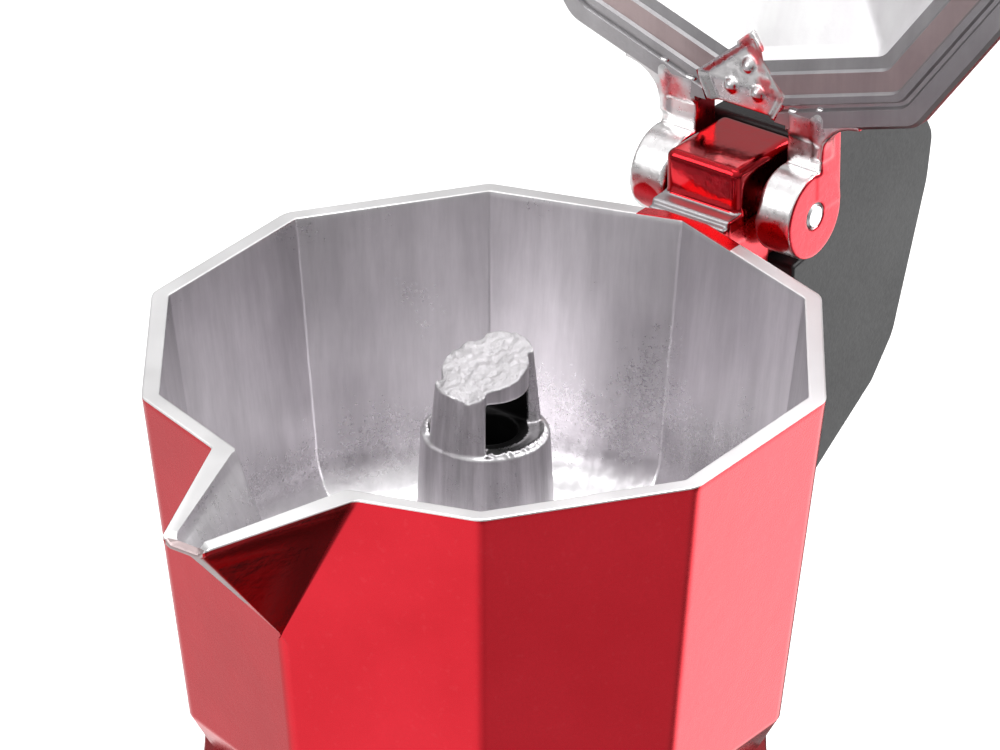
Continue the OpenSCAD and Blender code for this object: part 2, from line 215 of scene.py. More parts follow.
def ten_ring(r, z, corner_r, steps=8):
    """A ten-sided ring with rounded corners. A corner radius near the apothem makes it a circle."""
    apothem = r * cos(SIDE_TURN)
    radius = min(corner_r, 0.88 * apothem)
    return [(x, y, z) for x, y in rounded(decagon(r), [radius] * SIDES, steps)]


def round_ring(r, z, n=96):
    return [(r * cos(2 * pi * k / n), r * sin(2 * pi * k / n), z) for k in range(n)]


def lathe(profile, n=96):
    """A closed solid of revolution about Z from (radius, height) points."""
    rings = [round_ring(r, z, n) for r, z in profile]
    return loft(rings + [rings[0]])


def solid_lathe(profile, n=48):
    """A solid round part: the profile starts and ends near the axis."""
    return loft([round_ring(r, z, n) for r, z in profile], True, True)


def turned(points, origin, axis):
    """Moves points drawn about +Z so that +Z lies along axis, at origin."""
    spin = Vector((0, 0, 1)).rotation_difference(Vector(axis)).to_matrix()
    return [tuple(spin @ Vector(p) + Vector(origin)) for p in points]


# ---------------------------------------------------------------- distance fields and their skin


def box_field(p, low, high, r=0.0):
    """Distance to a box whose edges are rounded by r."""
    q = [np.abs(p[i] - 0.5 * (low[i] + high[i])) - (0.5 * (high[i] - low[i]) - r) for i in range(3)]
    outside = np.sqrt(sum(np.maximum(v, 0) ** 2 for v in q))
    return outside + np.minimum(np.maximum(np.maximum(q[0], q[1]), q[2]), 0) - r


def rod_field(p, axis, centre, radius, half_l, r=0.0):
    """Distance to a cylinder along one of the axes, with rounded ends."""
    i, j = [k for k in range(3) if k != axis]
    radial = np.sqrt((p[i] - centre[i]) ** 2 + (p[j] - centre[j]) ** 2) - (radius - r)
    along = np.abs(p[axis] - centre[axis]) - (half_l - r)
    outside = np.sqrt(np.maximum(radial, 0) ** 2 + np.maximum(along, 0) ** 2)
    return outside + np.minimum(np.maximum(radial, along), 0) - r


def half_space(p, point, normal):
    n = np.array(normal, float) / np.linalg.norm(normal)
    return sum((p[i] - point[i]) * n[i] for i in range(3))


def join(a, b, k=0.0):
    """Union of two fields, with a fillet of about k."""
    if k <= 0:
        return np.minimum(a, b)
    h = np.clip(0.5 + 0.5 * (b - a) / k, 0, 1)
    return b * (1 - h) + a * h - k * h * (1 - h)


def common(a, b, k=0.0):
    return -join(-a, -b, k)


def cut(a, b, k=0.0):
    """The first field with the second taken away."""
    return -join(-a, b, k)


CELL_CORNERS = [(i, j, k) for i in (0, 1) for j in (0, 1) for k in (0, 1)]
CELL_EDGES = [(a, b) for a in range(8) for b in range(a + 1, 8)
              if sum(abs(u - v) for u, v in zip(CELL_CORNERS[a], CELL_CORNERS[b])) == 1]


def skin(field, low, high, step):
    """Surface of field < 0 as quads: one point in each cell that the surface crosses."""
    low = np.array(low, float) - 1.5 * step
    count = [int(np.ceil((high[i] + 1.5 * step - low[i]) / step)) + 1 for i in range(3)]
    axes = [low[i] + step * np.arange(count[i]) for i in range(3)]
    p = np.meshgrid(*axes, indexing="ij", sparse=True)
    v = np.broadcast_to(field(p), count).astype(np.float32)
    inside = v < 0
    cells = [n - 1 for n in count]

    def window(grid, corner):
        return grid[tuple(slice(c, c + n) for c, n in zip(corner, cells))]

    filled = sum(window(inside, c).astype(np.int8) for c in CELL_CORNERS)
    active = np.argwhere((filled > 0) & (filled < 8))
    number = np.full(cells, -1, np.int64)
    number[tuple(active.T)] = np.arange(len(active))
    total = np.zeros((len(active), 3))
    hits = np.zeros(len(active))
    for a, b in CELL_EDGES:
        ca, cb = np.array(CELL_CORNERS[a]), np.array(CELL_CORNERS[b])
        va = v[tuple((active + ca).T)]
        vb = v[tuple((active + cb).T)]
        crossed = (va < 0) != (vb < 0)
        t = np.where(crossed, va / np.where(crossed, va - vb, 1), 0)[:, None]
        total += np.where(crossed[:, None], ca + (cb - ca) * t, 0)
        hits += crossed
    points = low + step * (active + total / hits[:, None])
    faces = []
    for axis in range(3):
        i, j = [k for k in range(3) if k != axis]
        lower = [slice(0, n) for n in count]
        upper = [slice(0, n) for n in count]
        lower[axis], upper[axis] = slice(0, -1), slice(1, None)
        change = np.argwhere(inside[tuple(lower)] != inside[tuple(upper)])
        ok = np.all(change[:, [i, j]] > 0, 1) & np.all(change[:, [i, j]] < np.array(cells)[[i, j]], 1)
        change = change[ok]
        ring = []
        for di, dj in ((-1, -1), (0, -1), (0, 0), (-1, 0)):
            at = change.copy()
            at[:, i] += di
            at[:, j] += dj
            ring.append(number[tuple(at.T)])
        faces.append(np.stack(ring, 1))
    faces = np.concatenate(faces)
    return points, [tuple(int(n) for n in f) for f in faces if (f >= 0).all()]


# ---------------------------------------------------------------- materials


class Nodes:
    """A small helper that adds nodes to a material or world."""

    def __init__(self, tree):
        self.tree = tree

    def add(self, kind, **values):
        node = self.tree.nodes.new(kind)
        for key, value in values.items():
            setattr(node, key, value)
        return node

    def link(self, out, into):
        self.tree.links.new(out, into)
        return out

    def coords(self):
        return self.add("ShaderNodeTexCoord").outputs["Object"]

    def noise(self, vector, scale, detail=4.0, rough=0.55, stretch=None):
        if stretch:
            mapping = self.add("ShaderNodeMapping")
            mapping.inputs["Scale"].default_value = stretch
            self.link(vector, mapping.inputs["Vector"])
            vector = mapping.outputs["Vector"]
        node = self.add("ShaderNodeTexNoise")
        node.inputs["Scale"].default_value = scale
        node.inputs["Detail"].default_value = detail
        node.inputs["Roughness"].default_value = rough
        self.link(vector, node.inputs["Vector"])
        return node.outputs["Fac"]

    def spread(self, value, low, high, to_low, to_high):
        node = self.add("ShaderNodeMapRange")
        for key, number in zip(("From Min", "From Max", "To Min", "To Max"), (low, high, to_low, to_high)):
            node.inputs[key].default_value = number
        self.link(value, node.inputs["Value"])
        return node.outputs["Result"]

    def math(self, operation, a, b):
        node = self.add("ShaderNodeMath", operation=operation)
        for socket, value in zip(node.inputs, (a, b)):
            if isinstance(value, (int, float)):
                socket.default_value = value
            else:
                self.link(value, socket)
        return node.outputs[0]

    def mix(self, factor, a, b):
        node = self.add("ShaderNodeMix", data_type="RGBA")
        self.link(factor, node.inputs["Factor"])
        for socket, value in ((node.inputs[6], a), (node.inputs[7], b)):
            if isinstance(value, tuple):
                socket.default_value = (*value, 1)
            else:
                self.link(value, socket)
        return node.outputs[2]

    def bump(self, height, strength, distance, normal=None):
        node = self.add("ShaderNodeBump")
        node.inputs["Strength"].default_value = strength
        node.inputs["Distance"].default_value = distance
        self.link(height, node.inputs["Height"])
        if normal:
            self.link(normal, node.inputs["Normal"])
        return node.outputs["Normal"]

def principled(name):
    material = bpy.data.materials.new(name)
    material.use_nodes = True
    nodes = Nodes(material.node_tree)
    shader = material.node_tree.nodes["Principled BSDF"]
    return material, nodes, shader


def surface(n, shader, colour, rough, normal, metal=1.0, coat=None):
    """Joins the worked-out colour, roughness and bump to the shader; coat is (weight, roughness)."""
    n.link(colour, shader.inputs["Base Color"])
    n.link(rough, shader.inputs["Roughness"])
    n.link(normal, shader.inputs["Normal"])
    shader.inputs["Metallic"].default_value = metal
    if coat:
        shader.inputs["Coat Weight"].default_value = coat[0]
        shader.inputs["Coat Roughness"].default_value = coat[1]


def red_anodised():
    """Dyed, anodised cast aluminium: a clear red metal with a faint orange-peel and fine grain."""
    material, n, shader = principled("red_anodised")
    at = n.coords()
    blotch = n.noise(at, 60, 5)
    grain = n.noise(at, 2600, 3, 0.6)
    speck = n.spread(n.noise(at, 900, 2), 0.62, 0.72, 0, 1)
    base = n.mix(n.spread(blotch, 0.35, 0.65, 0, 1), (0.54, 0.004, 0.015), (0.62, 0.008, 0.022))
    colour = n.mix(n.math("MULTIPLY", speck, 0.05), base, (0.80, 0.10, 0.12))
    rough = n.math("ADD", n.spread(blotch, 0.3, 0.7, 0.24, 0.31), n.spread(grain, 0.3, 0.7, -0.03, 0.04))
    waves = n.bump(n.noise(at, 220, 3), 0.10, 0.0004)
    surface(n, shader, colour, rough, n.bump(grain, 0.10, 0.00006, waves), coat=(0.35, 0.22))
    return material


def red_gloss():
    """The same dye over polished faces, for the hinge block."""
    material, n, shader = principled("red_gloss")
    at = n.coords()
    blotch = n.noise(at, 90, 4)
    surface(n, shader, n.mix(blotch, (0.33, 0.002, 0.006), (0.45, 0.004, 0.012)),
            n.spread(blotch, 0.3, 0.7, 0.10, 0.17), n.bump(n.noise(at, 420, 4), 0.22, 0.0003),
            coat=(0.3, 0.08))
    return material


def cast_aluminium(name="cast_aluminium", tone=0.70, rough=0.30, relief=0.35, scale=1.0, streaks=0.0,
                   polish=False, tinge=(1.0, 0.97, 1.0)):
    """Bare die-cast aluminium: satin, with soft streaks down the walls and small pits.

    polish makes the metal smoother and brighter towards the chamber's floor.
    """
    material, n, shader = principled(name)
    at = n.coords()
    cloud = n.noise(at, 45 * scale, 5, 0.6)
    streak = n.noise(at, 160 * scale, 4, 0.6, (1, 1, 0.12))
    grit = n.noise(at, 1900 * scale, 4, 0.65)
    pit = n.spread(n.noise(at, 950 * scale, 2, 0.5), 0.28, 0.36, 1, 0)
    dark = tuple(0.82 * tone * v for v in tinge)
    light = tuple(min(1.0, 1.08 * tone * v) for v in tinge)
    tint = n.mix(n.spread(n.math("ADD", cloud, streak), 0.75, 1.25, 0, 1), dark, light)
    if streaks:
        lines = n.spread(n.noise(at, 420, 4, 0.7, (1, 1, 0.03)), 0.36, 0.64, 0, 1)
        tint = n.mix(n.math("MULTIPLY", lines, 0.55 * streaks), tint, tuple(0.5 * v for v in dark))
    pits = 0 if polish else min(relief, 1)
    tint = n.mix(n.math("MULTIPLY", pit, 0.25 * pits), tint, dark)
    wide = n.spread(cloud, 0.3, 0.7, rough - 0.05, rough + 0.08)
    wide = n.math("ADD", wide, n.spread(grit, 0.3, 0.7, -0.03, 0.05))
    rolling = n.bump(n.math("ADD", cloud, streak), 0.30 * relief, 0.0006)
    if polish:
        place = n.add("ShaderNodeSeparateXYZ")
        n.link(at, place.inputs[0])
        low = n.spread(place.outputs["Z"], (RIM_Z - 36) * MM, (RIM_Z - 20) * MM, 1, 0)
        wide = n.math("SUBTRACT", wide, n.math("MULTIPLY", low, 0.10))
        ripple = n.math("MULTIPLY", n.noise(at, 120, 3, 0.5), low)
        rolling = n.bump(ripple, 0.5, 0.0008, rolling)
    rugged = n.math("SUBTRACT", grit, n.math("MULTIPLY", pit, 0.5 * pits))
    surface(n, shader, tint, wide, n.bump(rugged, relief, 0.00008, rolling))
    return material


def clouded(name, dark, light, rough, cloud_scale, marks, depth, metal=1.0):
    """A plain material: one soft cloud sets its tone and roughness, and fine marks its relief.

    rough is (least, most), marks the fine noise's settings, and depth its (strength, distance).
    """
    material, n, shader = principled(name)
    at = n.coords()
    cloud = n.noise(at, cloud_scale, 4)
    surface(n, shader, n.mix(cloud, dark, light), n.spread(cloud, 0.3, 0.7, *rough),
            n.bump(n.noise(at, *marks), *depth), metal)
    return material


def steel():
    material, n, shader = principled("bright_steel")
    at = n.coords()
    scratch = n.noise(at, 1200, 3, 0.6, (0.15, 1, 1))
    surface(n, shader, n.mix(scratch, (0.62, 0.62, 0.63), (0.78, 0.78, 0.79)),
            n.spread(scratch, 0.3, 0.7, 0.22, 0.36), n.bump(scratch, 0.15, 0.00005))
    return material


def black_plastic():
    """Moulded phenolic: black, satin, with a fine spark-eroded grain."""
    material, n, shader = principled("black_plastic")
    at = n.coords()
    cloud = n.noise(at, 40, 4)
    grain = n.noise(at, 2200, 3, 0.7)
    shader.inputs["Specular IOR Level"].default_value = 0.3
    surface(n, shader, n.mix(cloud, (0.006, 0.006, 0.007), (0.012, 0.012, 0.013)),
            n.spread(n.math("ADD", cloud, grain), 0.7, 1.3, 0.34, 0.48),
            n.bump(grain, 0.22, 0.00008), metal=0.0)
    return material


RED = red_anodised()
GLOSS = red_gloss()
CAST = cast_aluminium(relief=0.18)
PALE = cast_aluminium("pale_cast", 0.98, 0.44, 0.15, 0.8)
BAND = cast_aluminium("band_cast", 0.42, 0.34, 0.2, 1.5, tinge=(1.0, 0.80, 0.80))
FLANGE = cast_aluminium("flange_cast", 0.36, 0.36, 0.3, 1.5)
COLUMN_CAST = cast_aluminium("column_cast", 0.66, 0.30, 0.3, 2.5, streaks=1.0)
CRUST = cast_aluminium("crust_cast", 0.60, 0.40, 2.0, 3.0)
# painted shade: a near-black metal for the inside of the column's bore and windows, standing in for the shade
# that falls deep in them
BORE_SHADE = cast_aluminium("bore_shade_cast", 0.02, 0.5, 0.1, 2.0)
WALL_CAST = cast_aluminium("wall_cast", 0.80, 0.30, 0.06, streaks=0.35, polish=True)
FACED = clouded("machined_aluminium", (0.73, 0.72, 0.725), (0.85, 0.84, 0.845), (0.34, 0.46), 80,
                (700, 3, 0.6, (1, 0.2, 1)), (0.25, 0.00008))
STEEL = steel()
BRASS = clouded("turned_brass", (0.60, 0.43, 0.16), (0.76, 0.58, 0.27), (0.22, 0.38), 300,
                (1500, 3, 0.6, (1, 0.2, 1)), (0.2, 0.00006))
BLACK = black_plastic()
RUBBER = clouded("seal_rubber", (0.70, 0.69, 0.64), (0.82, 0.81, 0.77), (0.55, 0.75), 120, (1600, 3),
                 (0.25, 0.00008), metal=0.0)

# ---------------------------------------------------------------- upper chamber

SPOUT_ROOT_W = 10.5                       # half width where the spout's edges leave the rim
SPOUT_TIP_X, SPOUT_DEPTH = 39.6, 21.2     # lower point of the spout
LIP_X, LIP_W, LIP_DROP, LIP_FACE = 57.4, 3.1, 0.8, 1.1
LIP_UNDERCUT = 0.5
LIP_BACK_X = LIP_X - 3.4                  # from here the spout's edge slopes down to the lip
MOUTH_DEPTH = 1.7                        # depth of the channel's mouth at the lip
CORNER_STEPS = 7
OUTER_CORNER_R, INNER_CORNER_R = 3.0, 1.0
OUTER_SPOUT_R = (1.4, 0.7, 0.7, 1.4)      # rounding of the spout's four corners at the rim
INNER_SPOUT_R = (1.0, 0.5, 0.5, 1.0)
LIP_POINTS = 13
DYED_RIM = (9.3, 5.6)                     # how far the dye stays on the rim, to -Y and +Y of the hinge
TAPER_IN = 0.127
FILLET_DEPTH, FILLET_IN = 29.5, 8.5       # where the fillet to the floor starts, and how far it reaches in
COLLAR_R, BEAD_R = 35.2, 36.15
SOCKET_R, CEILING_H = 32.7, 11.65         # socket for the boiler's neck, and its height
BORE_R = 3.8


def blend(a, b, t):
    return a + (b - a) * t


def ease(t):
    """0 to 1 with a level start and end."""
    t = clamp(t)
    return t * t * (3 - 2 * t)


def spout_corners(depth, corner, root_w, tip, end_depth, lip, lip_face):
    """Four corners (x, y) of the spout's outline at a depth, from the +Y root round to the -Y root."""
    t = clamp(depth / end_depth)
    t_lip = clamp((depth - lip_face) / (end_depth - lip_face))
    lip_x, lip_w = lip
    s = max(0.04, (1 - t) * root_w)
    # the roots slide along the two sides of the corner to the tip
    x_root = -(corner - s * tan(SIDE_TURN))
    x_lip = -blend(lip_x, tip, t_lip)
    undercut = clamp((depth - lip_face) / 1.5)
    y_lip = max(0.02, (1 - t_lip) * lip_w * (1 - LIP_UNDERCUT * undercut))
    return [(x_root, s), (x_lip, y_lip), (x_lip, -y_lip), (x_root, -s)]


def chamber_ring(depth, r, corner_r, spout, spout_r, merged):
    """Outline at a depth below the rim, with the spout in place of the corner on -X.

    merged is 0 where the spout stands out and 1 where the plain rounded corner is reached.
    """
    corners = decagon(r)
    n = CORNER_STEPS + 3
    out = []
    for k in range(SIDES):
        at = np.array(corners[k], float)
        before, after = np.array(corners[k - 1]), np.array(corners[(k + 1) % SIDES])
        if k == SIDES // 2:
            plain = corner_block(at, before, after, corner_r, 4 * n + LIP_POINTS - 3)
            if merged < 1:
                path = [before] + spout + [after]
                jut = []
                for i in range(1, 5):
                    jut += corner_block(np.array(path[i], float), path[i - 1], path[i + 1], spout_r[i - 1],
                                        CORNER_STEPS)
                    if i == 2:
                        # points along the lip, so that it can be hollowed
                        start, end = np.array(path[2]), np.array(path[3])
                        inner_start, inner_end = blend(start, end, 0.12), blend(start, end, 0.88)
                        jut += [tuple(blend(inner_start, inner_end, j / (LIP_POINTS - 1)))
                                for j in range(LIP_POINTS)]
                plain = [tuple(np.array(a) * (1 - merged) + np.array(b) * merged)
                         for a, b in zip(jut, plain)]
            out += plain
            continue
        block = corner_block(at, before, after, corner_r, CORNER_STEPS)
        if k == 0:
            # a point on each side of the hinge, where the faced part of the rim starts
            side = cos(SIDE_TURN) * hypot(*(before - at))
            block.insert(0, tuple(blend(at, before, DYED_RIM[0] / side)))
            block.append(tuple(blend(at, after, DYED_RIM[1] / side)))
        out += block
    return out


def outer_r(depth):
    if depth <= SIDE_H:
        return blend(RIM_R, SIDE_LOW_R, depth / SIDE_H)
    return SIDE_LOW_R - (depth - SIDE_H) * 0.55


def inner_r(depth):
    return RIM_IN_R - TAPER_IN * depth


def outer_ring(depth, inset=0.0):
    r = outer_r(depth) - inset
    lip = (LIP_X - inset, LIP_W - 0.3 * inset)
    spout = spout_corners(depth, r, SPOUT_ROOT_W, SPOUT_TIP_X, SPOUT_DEPTH, lip, LIP_FACE)
    merged = clamp(depth - SPOUT_DEPTH)
    fade = max(0.05, 1 - depth / SPOUT_DEPTH)
    radii = [fade * v for v in OUTER_SPOUT_R]
    ring = chamber_ring(depth, r, OUTER_CORNER_R, spout, radii, merged)
    return [(x, y, RIM_Z - depth) for x, y in ring]


SKIRT = 3.0                               # depth at which the rings lie level again


def lip_skirt(ring, depth):
    """Keeps the rings just below the rim under the sloping lip."""
    out = []
    for (x, y, z), (_, _, top) in zip(ring, lip_fall(ring)):
        fall = RIM_Z - depth - top
        out.append((x, y, z - fall * max(0.0, 1 - depth / SKIRT)))
    return out


IN_ROOT_W, IN_LIP_W, IN_DEPTH = 8.1, 1.9, 17.0
IN_LIP_BACK = 0.55                        # the channel ends this far from the lip's front


def inner_ring(depth, inset=0.0):
    r = inner_r(depth) - inset
    spout = spout_corners(depth, r, IN_ROOT_W, inner_r(IN_DEPTH) + 0.3, IN_DEPTH,
                          (LIP_X - IN_LIP_BACK + inset, IN_LIP_W + 0.3 * inset), MOUTH_DEPTH)
    merged = clamp(depth - IN_DEPTH)
    fade = max(0.05, 1 - depth / IN_DEPTH)
    radii = [fade * v for v in INNER_SPOUT_R]
    ring = chamber_ring(depth, r, INNER_CORNER_R, spout, radii, merged)
    return [(x, y, RIM_Z - depth) for x, y in ring]


def lip_fall(ring, scale=1.0):
    """Slopes a ring of the rim down to the lip, and lowers the middle of the lip to the channel."""
    out = []
    for x, y, z in ring:
        slope = ease((-x - LIP_BACK_X) / (LIP_X - LIP_BACK_X))
        middle = ease((LIP_W + 0.1 - abs(y)) / 1.3)
        front = clamp((-x - LIP_X + 1.4) / 0.7)
        out.append((x, y, z - scale * (slope * LIP_DROP + front * middle * (MOUTH_DEPTH - LIP_DROP))))
    return out


def chamber():
    edge = 0.22                            # rounding of the rim's edges
    rings, kinds = [], []

    def add(ring, kind):
        rings.append(ring)
        kinds.append(kind)

    # underside, from the gasket seat out and down the socket to the collar's foot
    low = CHAMBER_LOW[2]
    count = len(outer_ring(0))

    def disc(r, z):
        return ring_like(outer_ring(60), r, z)

    ceiling = low + CEILING_H
    floor = RIM_Z - FLOOR_DEPTH
    for r, z in ((BORE_R, floor + 0.5), (BORE_R, floor), (9, ceiling + 10), (22, ceiling + 5),
                 (26, ceiling + 1), (26, ceiling), (SOCKET_R, ceiling), (SOCKET_R, low + 0.6),
                 (SOCKET_R + 0.5, low)):
        add(disc(r, z), "cast")
    for r, z in ((BEAD_R - 0.35, low), (BEAD_R, low + 0.35), (BEAD_R, low + 2.7), (BEAD_R - 0.35, low + 3.0),
                 (COLLAR_R, low + 3.25), (COLLAR_R, RIM_Z - 51.6), (COLLAR_R - 0.2, RIM_Z - 51.0)):
        add(disc(r, z), "red")
    add([(x * 0.985, y * 0.985, z) for x, y, z in outer_ring(49.6)], "red")
    for depth in (48.9, 44.6, 44.2, 43.8, 36, 28, 22.2, 21.7, 21.2, 20.4, 19, 17, 14, 10, 6, 2.6, 2.0, 1.7,
                  1.0):
        add(lip_skirt(outer_ring(depth), depth), "red")
    add(lip_fall(outer_ring(edge)), "red")
    add(lip_fall(outer_ring(0.06, 0.06)), "rim")
    for inset in (edge, edge + 0.12):
        add(lip_fall(outer_ring(0, inset)), "rim")
    for inset in (edge + 0.12, edge):
        add(lip_fall(inner_ring(0, -inset)), "rim")
    add(lip_fall(inner_ring(0.06, -0.06)), "rim")
    add(lip_fall(inner_ring(edge)), "cast")
    for depth in (0.9, 1.3, 2.5, 5, 8, 11, 14, 15.6, 16.6, 17.0, 17.5, 18, 22, 26, FILLET_DEPTH):
        ring = inner_ring(depth)
        add(lip_fall(ring, 0.5) if depth < MOUTH_DEPTH else ring, "cast")
    # fillet to the floor
    base = inner_r(FILLET_DEPTH)
    steps = 9
    for i in range(1, steps + 1):
        a = 0.5 * pi * i / steps
        depth = FILLET_DEPTH + (FLOOR_DEPTH - FILLET_DEPTH) * sin(a)
        shrink = (base - FILLET_IN * (1 - cos(a))) / base
        add([(x * shrink, y * shrink, RIM_Z - depth) for x, y, _ in inner_ring(FILLET_DEPTH)], "cast")
    for r in (22, 16, 11, 9.4):
        add(disc(r, floor), "cast")
    add(disc(8.7, floor + 0.5), "cast")
    points, faces = loft(rings)
    names = {"red": 0, "rim": 1, "cast": 2, "ground": 3, "gloss": 4}
    index = []
    per_corner = CORNER_STEPS + 3
    spout_from = 5 * per_corner + 2
    for i in range(len(rings) - 1):
        kind = kinds[i + 1]
        for k in range(count):
            choice = kind
            # the rim is left unfaced beside the hinge
            if kind == "rim" and (k < per_corner + 1):
                choice = "red"
            # the spout's side faces are smoother, and the strip below its lip is ground bare
            depth = RIM_Z - points[i * count + k][2]
            if kind == "rim" and 2 * per_corner - 3 <= k - spout_from <= 2 * per_corner + LIP_POINTS + 2:
                choice = "ground"
            if kind == "red" and depth < SPOUT_DEPTH and i > 10:
                along = k - spout_from
                face_end = 2 * per_corner + LIP_POINTS
                if 2 * per_corner - 2 <= along <= face_end + 1 and depth < 0.8 * SPOUT_DEPTH:
                    choice = "ground"
                elif per_corner - 1 <= along < 2 * per_corner - 2 or \
                        face_end + 1 < along <= face_end + per_corner:
                    choice = "gloss"
            index.append(names[choice])
    piece = add_object("chamber", points, faces, "upper", ["upper_chamber"], index)
    paint(piece, RED, FACED, WALL_CAST, BAND, GLOSS)
    shade(piece, 24)
    return piece


RIB_HALF = radians(37)
WINDOW_W = 4.2


def column():
    """Coffee column: a round lower tube, two ribs with windows between them, and a slanted rough top."""
    ledge = RIM_Z - 11.3
    floor = RIM_Z - FLOOR_DEPTH
    rng = np.random.default_rng(7)
    lumps = [(rng.uniform(-6.5, 6.5), rng.uniform(-5, 5), rng.uniform(0.8, 1.6), rng.uniform(-0.2, 0.15))
             for _ in range(24)]
    lumps += [(rng.uniform(-6.5, 6.5), rng.uniform(-5, 5), rng.uniform(0.22, 0.5), rng.uniform(-0.32, 0.22))
              for _ in range(240)]

    def field(p):
        x, y, z = p
        r = np.sqrt(x * x + y * y)
        up = z - ledge
        lower = common(r - (9 - (z - floor) * 0.0473), up, 0.4)
        core = np.maximum(r - 5.2, -2 - up)
        # the ribs are oval, so that they run into the round lower part at their middles
        rise = np.maximum(up, 0)
        long_r, short_r = 7.62 - rise * 0.11, 6.15 - rise * 0.085
        ribs = (np.sqrt((x / long_r) ** 2 + (y / short_r) ** 2) - 1) * short_r
        across = np.abs(y) * cos(RIB_HALF) - np.abs(x) * sin(RIB_HALF)
        ribs = np.maximum(common(ribs, across, 0.4), -2 - up)
        solid = join(join(core, ribs, 0.4), lower, 0.3)
        slant = (z - (RIM_Z - 2.5)) - x * 0.215
        bumps = sum(h * np.exp(-((x - a) ** 2 + (y - b) ** 2) / (w * w)) for a, b, w, h in lumps)
        solid = common(solid, slant - bumps, 0.15)
        window = box_field(p, (-WINDOW_W, -12, ledge + 0.1), (WINDOW_W, 12, ledge + 6.0), 0.5)
        solid = cut(solid, window, 0.15)
        solid = cut(solid, np.maximum(r - 3.9, up - 6.0), 0.2)
        # burr standing along the edges of the two ledges
        ragged = 0.30 + 0.14 * np.sin(5.1 * x) * np.sin(3.3 * x + y) + 0.08 * np.sin(11 * x + 2)
        burr = np.maximum(np.sqrt((r - 7.05) ** 2 + (up - 0.15) ** 2) - ragged, np.abs(x) - 5.2)
        return join(solid, burr, 0.3)

    points, faces = skin(field, (-9.2, -9.2, floor - 0.5), (9.2, 9.2, RIM_Z), 0.2)
    piece = add_object("coffee_column", points, faces, "upper", ["upper_chamber"])
    paint(piece, COLUMN_CAST, CRUST, BORE_SHADE)
    piece.data.shade_smooth()
    for face in piece.data.polygons:
        c = face.center / MM
        if face.normal.z > 0.55 and c.z > ledge + 6.5:
            face.material_index = 1
        # the bore and the inner faces of the windows get the near-black metal: painted shade
        elif hypot(c.x, c.y) < 5.15 and c.z < ledge + 6.2:
            face.material_index = 2
    return piece


def hinge_block():
    """The block that holds the pin, with its ledge, its lug down the wall and the handle's tongue."""
    z0 = RIM_Z

    def field(p):
        block = box_field(p, (43.9, -BLOCK_HALF_W, z0 - 8), (56.3, BLOCK_HALF_W, z0 + 6.5), 1.1)
        lug = box_field(p, (36, -BLOCK_HALF_W - 0.2, z0 - 24), (50.6, BLOCK_HALF_W + 0.2, z0 + 0.02), 0.5)
        lug = common(lug, half_space(p, (50.6, 0, z0 - 11), (10, 0, -12.6)), 0.8)
        lug = common(lug, half_space(p, (RIM_IN_R + 0.8, 0, z0), (-1, 0, -0.127)), 0.0)
        ledge = box_field(p, (41.7, -BLOCK_HALF_W - 0.3, z0 - 3), (45.5, BLOCK_HALF_W + 0.3, z0 + 0.7), 0.35)
        lug = join(lug, ledge, 0.3)
        tongue = box_field(p, (55, -3.4, z0 - 6), (67, 3.4, z0 + 2), 0.4)
        return join(join(block, lug, 0.6), tongue, 0.5)

    points, faces = skin(field, (38, -6, z0 - 24), (67.2, 6, z0 + 6.6), 0.22)
    piece = add_object("hinge_block", points, faces, "upper", ["upper_chamber"])
    paint(piece, GLOSS, FLANGE, RED)
    piece.data.shade_smooth()
    for face in piece.data.polygons:
        c = face.center / MM
        if c.x < 44.6 and abs(c.z - z0) < 0.9 and abs(c.y) < BLOCK_HALF_W + 0.1:
            face.material_index = 1
        elif c.z < z0 - 1:
            face.material_index = 2
    return piece


def hinge_pin():
    half = 0.5 * (PIN_HIGH[1] - PIN_LOW[1])
    profile = [(0.01, 0), (PIN_R - 0.3, 0), (PIN_R, 0.25), (PIN_R, 2 * half - 0.25), (PIN_R - 0.3, 2 * half),
               (0.01, 2 * half)]
    points, faces = solid_lathe(profile)
    piece = add_object("pin", turned(points, (PIN[0], -half, PIN[2]), (0, 1, 0)), faces, "upper",
                       ["hinge_pin"])
    paint(piece, STEEL)
    shade(piece)


# ---------------------------------------------------------------- handle


def extruded(outline, half_w):
    """A plate of an (x, z) outline, across the middle plane."""
    front = [(x, -half_w, z) for x, z in outline]
    back = [(x, half_w, z) for x, z in outline]
    return loft([front, back], True, True)


def handle():
    front = PIN[0] + KNUCKLE_R + 0.4
    reach = HANDLE_HIGH[0]
    corners = [(front, 6.3), (reach - 12, 5.5), (reach - 3, 2.5), (reach, -3), (reach - 1, -9),
               (reach - 8, -28), (reach - 12.5, -33), (54, -43), (57, -32), (59, -24), (56.5, -16),
               (52.4, -10.8), (52.4, -9.2), (front, -8.5)]
    radii = [1.0, 8, 3, 3, 10, 6, 2.5, 1.0, 12, 8, 8, 0.6, 0.5, 0.5]
    outline = [(x, RIM_Z + z) for x, z in rounded(corners, radii, 6)]
    half_w = 0.5 * (HANDLE_HIGH[1] - HANDLE_LOW[1])
    points, faces = extruded(outline, half_w)
    piece = add_object("handle_grip", points, faces, "upper", ["handle"])
    bevel(piece, 1.3, 4)
    paint(piece, BLACK)
    shade(piece, 30)


# ---------------------------------------------------------------- lid

LID_GAP = 0.4
LID_R = 44.0
FLANGE_T = 2.4
ROOF_H = 10.5
NOTCH = 10.5
LID_Z = RIM_Z + LID_GAP
LID_TOP = LID_Z + FLANGE_T + ROOF_H
SCREW_HOLE_R = 2.1
BOSS_DROP = 4.5                           # from the lid's top down to the boss's lower face


